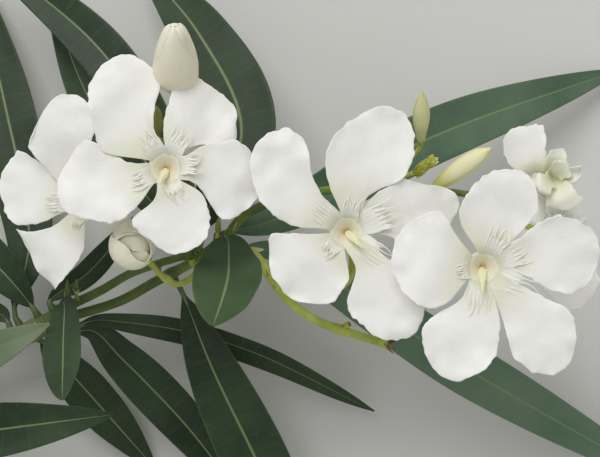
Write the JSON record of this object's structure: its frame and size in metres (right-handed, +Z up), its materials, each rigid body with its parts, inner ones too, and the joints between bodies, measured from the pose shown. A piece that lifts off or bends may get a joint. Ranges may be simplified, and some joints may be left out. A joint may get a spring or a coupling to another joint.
{
  "type": "flowering oleander branch, cut",
  "caption": "Cut flowering branch of a white oleander: a forked green stem with long narrow leaves, open flowers and furled buds, lying with its blooms upwards.",
  "frame": {"origin": "on the surface that the branch lies on, under the middle of its outline seen from above", "axes": "+X along the branch from its cut end towards the furthest leaf tips, +Z up, the way that the blooms face"},
  "size_m": [0.2745, 0.1986, 0.0843],
  "materials": {
    "bark": "smooth, matt green-brown bark",
    "green_stem": "smooth, satin yellow-green",
    "leaf": "leathery dark green with a pale midrib",
    "petal": "soft, matt white",
    "bud_cream": "soft, matt cream",
    "bud_yellow": "soft, matt pale yellow-green"
  },
  "bodies": {
    "root": {"main_stem": "bark", "left_flower_stalk": "green_stem", "left_flower_stalk_tip": "green_stem", "joining_stem": "green_stem", "right_flower_stalk": "green_stem", "right_flower_stalk_tip": "green_stem", "lower_flower_stalk": "green_stem", "looped_stalk": "green_stem", "leaf_fork_raised": "leaf", "leaf_fork_lower": "leaf", "leaf_fork_right": "leaf", "leaf_fork_left": "leaf", "leaf_fork_upper_left": "leaf", "leaf_fork_top": "leaf", "leaf_fork_behind": "leaf", "leaf_fork_low_behind": "leaf", "leaf_low_right": "leaf", "leaf_low_along": "leaf", "leaf_low_left": "leaf", "leaf_left_stalk_top": "leaf", "leaf_left_stalk_side": "leaf", "leaf_whorl_raised": "leaf", "leaf_whorl_upper_right": "leaf", "leaf_whorl_lower_right": "leaf", "leaf_whorl_behind": "leaf", "leaf_long_lower": "leaf", "bloom_left_front": "petal", "bloom_left_side": "petal", "bloom_middle": "petal", "bloom_right_front": "petal", "bloom_right_back": "petal", "bloom_right_opening": "petal", "bud_upright": "bud_cream", "bud_half_open": "bud_cream", "bud_slim_upright": "bud_yellow", "bud_slim_slanting": "bud_yellow", "bud_green_tuft": "green_stem", "bud_small_left": "green_stem", "shoot_fork_left": "green_stem", "shoot_fork_right": "green_stem", "shoot_whorl": "green_stem"}
  },
  "joints": []
}
